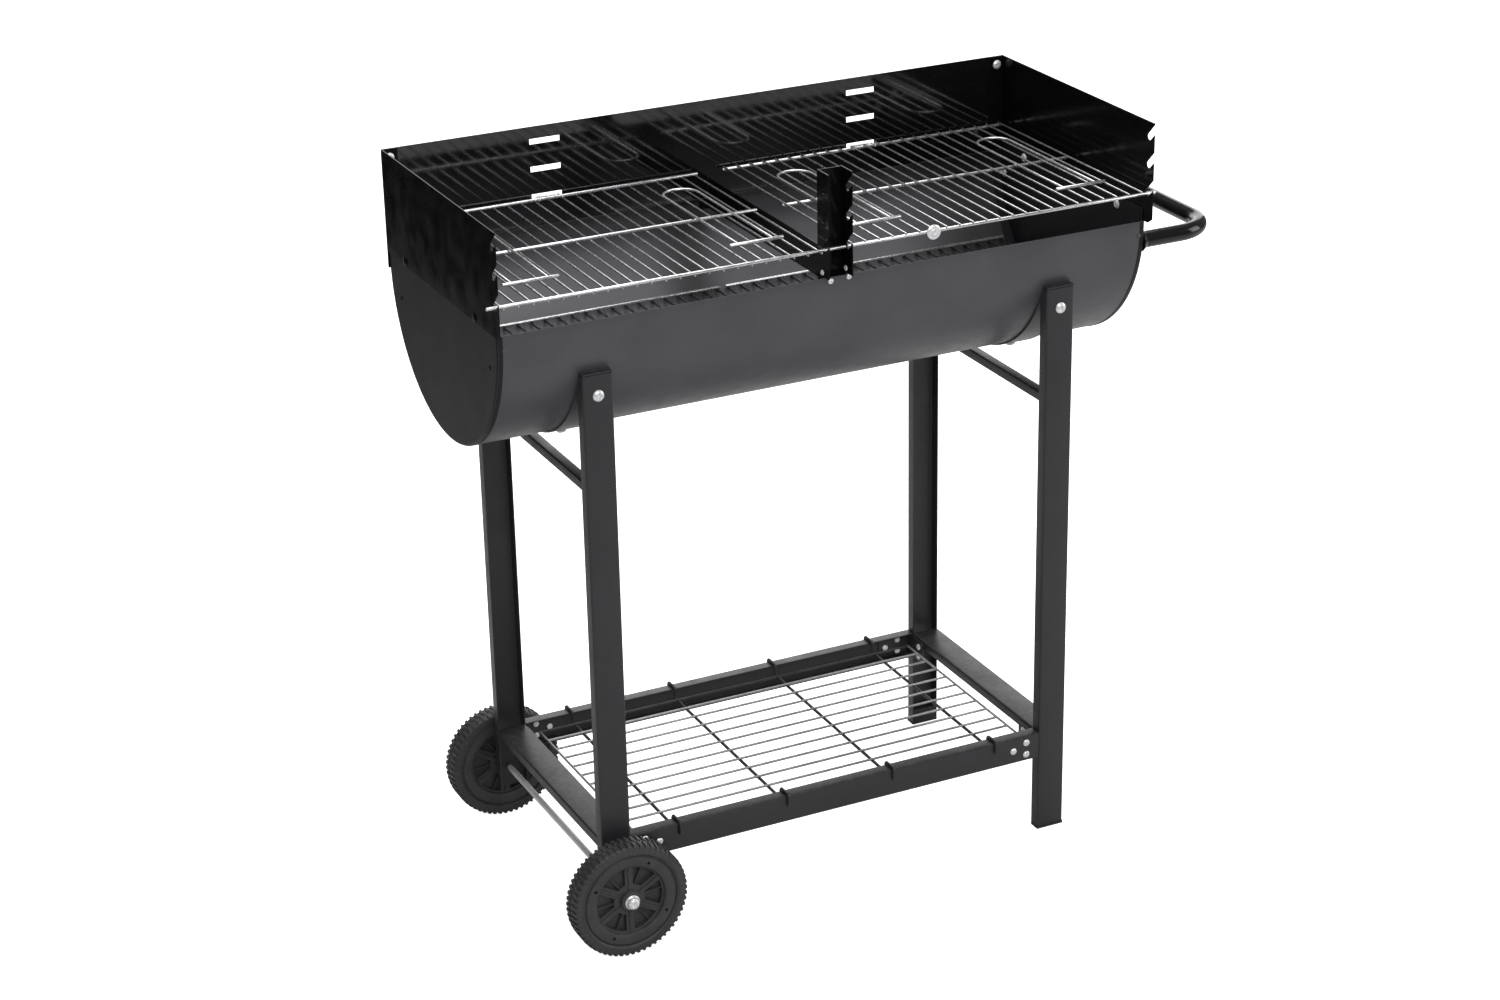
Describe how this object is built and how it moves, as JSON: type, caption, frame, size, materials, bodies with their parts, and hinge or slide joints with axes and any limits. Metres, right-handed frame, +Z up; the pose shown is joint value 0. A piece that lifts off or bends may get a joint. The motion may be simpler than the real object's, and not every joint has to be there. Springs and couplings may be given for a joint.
{
  "type": "barrel charcoal grill",
  "caption": "Half-barrel charcoal grill on a four-leg trolley, with a three-sided wind guard, lift-out wire grates, a hooked wire shelf, wheels and a push handle.",
  "frame": {"origin": "on the floor, under the middle of the whole object's box", "axes": "+X to the push handle's end, +Y to the wind guard's back panel, +Z up"},
  "size_m": [0.9803, 0.4536, 0.936],
  "materials": {
    "bowl_paint": "satin dark grey heat-proof enamel",
    "guard_gloss": "gloss black enamel",
    "handle_gloss": "gloss black",
    "frame_satin": "satin black",
    "grate_chrome": "bright chrome plate",
    "charcoal_wire": "dull chrome plate",
    "shelf_wire": "black coat",
    "zinc": "bright zinc plate",
    "wheel_plastic": "moulded black",
    "foot_plastic": "moulded black"
  },
  "bodies": {
    "frame": {"axle": "zinc", "axle_cap_front": "zinc", "axle_cap_rear": "zinc", "barrel_shell": "bowl_paint", "centre_divider": "guard_gloss", "centre_post": "guard_gloss", "corner_bracket_front_left": "frame_satin", "corner_bracket_front_right": "frame_satin", "corner_bracket_rear_left": "frame_satin", "corner_bracket_rear_right": "frame_satin", "end_cap_left": "bowl_paint", "end_cap_right": "bowl_paint", "foot_plug_front_right": "foot_plastic", "foot_plug_rear_right": "foot_plastic", "guard_bolt_left_front": "zinc", "guard_bolt_left_rear": "zinc", "guard_bolt_right_front": "zinc", "guard_bolt_right_rear": "zinc", "guard_corner_bolt_left": "zinc", "guard_corner_bolt_right": "zinc", "handle_bolt_front": "zinc", "handle_bolt_rear": "zinc", "leg_bolt_front_left": "zinc", "leg_bolt_front_right": "zinc", "leg_bolt_rear_left": "zinc", "leg_bolt_rear_right": "zinc", "leg_front_left": "frame_satin", "leg_front_right": "frame_satin", "leg_rear_left": "frame_satin", "leg_rear_right": "frame_satin", "push_handle": "handle_gloss", "saddle_strap_left": "frame_satin", "saddle_strap_right": "frame_satin", "shelf_rail_front": "frame_satin", "shelf_rail_left": "frame_satin", "shelf_rail_rear": "frame_satin", "shelf_rail_right": "frame_satin", "strap_bolt_left_front": "zinc", "strap_bolt_left_rear": "zinc", "strap_bolt_right_front": "zinc", "strap_bolt_right_rear": "zinc", "upper_crossbar_left": "frame_satin", "upper_crossbar_right": "frame_satin", "wind_guard_back": "guard_gloss", "wind_guard_left": "guard_gloss", "wind_guard_right": "guard_gloss"},
    "cooking_grate_left": {"cooking_grate_left": "grate_chrome"},
    "cooking_grate_right": {"cooking_grate_right": "grate_chrome", "grate_button": "zinc"},
    "charcoal_grate_left": {"charcoal_grate_left": "charcoal_wire"},
    "charcoal_grate_right": {"charcoal_grate_right": "charcoal_wire"},
    "wire_shelf": {"wire_shelf": "shelf_wire"},
    "wheel_front": {"wheel_front": "wheel_plastic"},
    "wheel_rear": {"wheel_rear": "wheel_plastic"}
  },
  "joints": [
    {"name": "wheel_front_spin", "type": "hinge", "parent": "frame", "child": "wheel_front", "pos_m": [-0.35925, -0.204, 0.075], "axis": [0, 1, 0], "continuous": true},
    {"name": "wheel_rear_spin", "type": "hinge", "parent": "frame", "child": "wheel_rear", "pos_m": [-0.35925, 0.204, 0.075], "axis": [0, 1, 0], "continuous": true},
    {"name": "cooking_grate_left_lift", "type": "slide", "parent": "frame", "child": "cooking_grate_left", "axis": [0, -0.7071, 0.7071], "range_m": [0, 0.06]},
    {"name": "cooking_grate_right_lift", "type": "slide", "parent": "frame", "child": "cooking_grate_right", "axis": [0, -0.7071, 0.7071], "range_m": [0, 0.06]},
    {"name": "charcoal_grate_left_lift", "type": "slide", "parent": "frame", "child": "charcoal_grate_left", "axis": [0, 0, 1], "range_m": [0, 0.12]},
    {"name": "charcoal_grate_right_lift", "type": "slide", "parent": "frame", "child": "charcoal_grate_right", "axis": [0, 0, 1], "range_m": [0, 0.12]},
    {"name": "wire_shelf_lift", "type": "slide", "parent": "frame", "child": "wire_shelf", "axis": [0, 0, 1], "range_m": [0, 0.15]}
  ]
}
